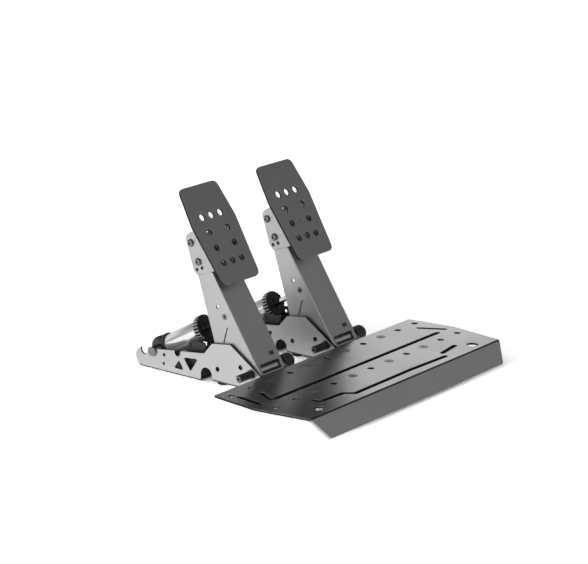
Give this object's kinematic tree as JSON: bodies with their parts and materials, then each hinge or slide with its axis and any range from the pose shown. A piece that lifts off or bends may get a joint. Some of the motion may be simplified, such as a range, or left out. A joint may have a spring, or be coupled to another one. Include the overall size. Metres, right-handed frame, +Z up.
{
  "type": "sim racing pedal set",
  "caption": "Brake and throttle pedals for a driving simulator, on bent sheet frames behind a wide heel plate, with damper-like cylinders behind the arms.",
  "frame": {"origin": "middle of the bounding box, on the floor", "axes": "+X to the driver's right along the heel plate, +Y away from the driver, +Z up"},
  "size_m": [0.4434, 0.3974, 0.2603],
  "materials": {
    "heel_sheet": "satin",
    "frame_sheet": "satin",
    "arm_sheet": "satin",
    "face_sheet": "satin",
    "bright_steel": "satin",
    "black_screws": "satin",
    "black_metal": "satin",
    "tube_metal": "gloss",
    "polished_rod": "polished",
    "knob_plastic": "matte",
    "black_plastic": "matte",
    "foot_rubber": "matte",
    "pad_rubber": "matte",
    "bush_bronze": "satin",
    "spring_steel": "satin"
  },
  "bodies": {
    "base": {"heel_plate": "heel_sheet", "heel_plate_screws": "black_screws", "heel_plate_nuts": "bright_steel", "brake_base_frame": "frame_sheet", "brake_feet": "foot_rubber", "brake_controller_box": "black_plastic", "brake_box_screws": "bright_steel", "brake_pivot_axle": "bright_steel", "brake_axle_sleeve": "black_plastic", "brake_axle_washers": "bright_steel", "brake_sensor_housing": "black_plastic", "brake_rear_pin": "black_metal", "throttle_base_frame": "frame_sheet", "throttle_feet": "foot_rubber", "throttle_controller_box": "black_plastic", "throttle_box_screws": "bright_steel", "throttle_pivot_axle": "bright_steel", "throttle_axle_sleeve": "black_plastic", "throttle_axle_washers": "bright_steel", "throttle_sensor_housing": "black_plastic", "throttle_rear_pin": "black_metal"},
    "brake_pedal": {"brake_pivot_bushes": "bush_bronze", "brake_pivot_tube": "bright_steel", "brake_pedal_arm": "arm_sheet", "brake_face_bracket": "arm_sheet", "brake_bracket_bolts": "black_screws", "brake_bracket_nuts": "bright_steel", "brake_face_plate": "face_sheet", "brake_face_screws": "black_screws", "brake_face_nuts": "bright_steel", "brake_rod_pin": "bright_steel", "brake_rod_pin_spacers": "bright_steel"},
    "brake_cylinder": {"brake_cylinder_end": "black_metal", "brake_cylinder_tube": "tube_metal", "brake_cylinder_gland": "black_plastic", "brake_elastomers": "pad_rubber", "brake_stack_washers": "bright_steel"},
    "brake_rod": {"brake_push_rod": "polished_rod", "brake_rod_eye": "black_metal"},
    "brake_knob": {"brake_preload_knob": "knob_plastic"},
    "throttle_pedal": {"throttle_pivot_bushes": "bush_bronze", "throttle_pivot_tube": "bright_steel", "throttle_pedal_arm": "arm_sheet", "throttle_face_bracket": "arm_sheet", "throttle_bracket_bolts": "black_screws", "throttle_bracket_nuts": "bright_steel", "throttle_face_plate": "face_sheet", "throttle_face_screws": "black_screws", "throttle_face_nuts": "bright_steel", "throttle_rod_pin": "bright_steel", "throttle_rod_pin_spacers": "bright_steel"},
    "throttle_cylinder": {"throttle_cylinder_end": "black_metal", "throttle_cylinder_tube": "tube_metal", "throttle_cylinder_gland": "black_plastic", "throttle_return_spring": "spring_steel"},
    "throttle_rod": {"throttle_push_rod": "polished_rod", "throttle_rod_eye": "black_metal"},
    "throttle_knob": {"throttle_preload_knob": "knob_plastic"}
  },
  "joints": [
    {"name": "brake_pedal_press", "type": "hinge", "parent": "base", "child": "brake_pedal", "pos_m": [-0.08, -0.00384, 0.028], "axis": [-1, 0, 0], "range_deg": [0, 10], "stiffness_Nm_per_rad": 120, "springref_deg": -2.29},
    {"name": "brake_cylinder_swing", "type": "hinge", "parent": "base", "child": "brake_cylinder", "pos_m": [-0.08, 0.16765, 0.026], "axis": [1, 0, 0], "range_deg": [0, 1.1]},
    {"name": "brake_rod_slide", "type": "slide", "parent": "brake_cylinder", "child": "brake_rod", "axis": [0, 0.8678, -0.497], "range_m": [0, 0.0145]},
    {"name": "brake_knob_turn", "type": "hinge", "parent": "brake_cylinder", "child": "brake_knob", "pos_m": [-0.08, 0.10691, 0.06079], "axis": [0, -0.8678, 0.497], "continuous": true},
    {"name": "throttle_pedal_press", "type": "hinge", "parent": "base", "child": "throttle_pedal", "pos_m": [0.08, -0.00384, 0.028], "axis": [-1, 0, 0], "range_deg": [0, 17], "stiffness_Nm_per_rad": 25, "springref_deg": -8.59},
    {"name": "throttle_cylinder_swing", "type": "hinge", "parent": "base", "child": "throttle_cylinder", "pos_m": [0.08, 0.16765, 0.026], "axis": [1, 0, 0], "range_deg": [0, 2.5]},
    {"name": "throttle_rod_slide", "type": "slide", "parent": "throttle_cylinder", "child": "throttle_rod", "axis": [0, 0.8678, -0.497], "range_m": [0, 0.0242], "deforming": ["throttle_return_spring"]},
    {"name": "throttle_knob_turn", "type": "hinge", "parent": "throttle_cylinder", "child": "throttle_knob", "pos_m": [0.08, 0.10691, 0.06079], "axis": [0, -0.8678, 0.497], "continuous": true}
  ],
  "couplings": [
    {"joint": "brake_cylinder_swing", "follows": "brake_pedal_press", "ratio": 0.1058},
    {"joint": "brake_rod_slide", "follows": "brake_pedal_press", "m_per_rad": 0.08249},
    {"joint": "throttle_cylinder_swing", "follows": "throttle_pedal_press", "ratio": 0.1464},
    {"joint": "throttle_rod_slide", "follows": "throttle_pedal_press", "m_per_rad": 0.08121}
  ]
}
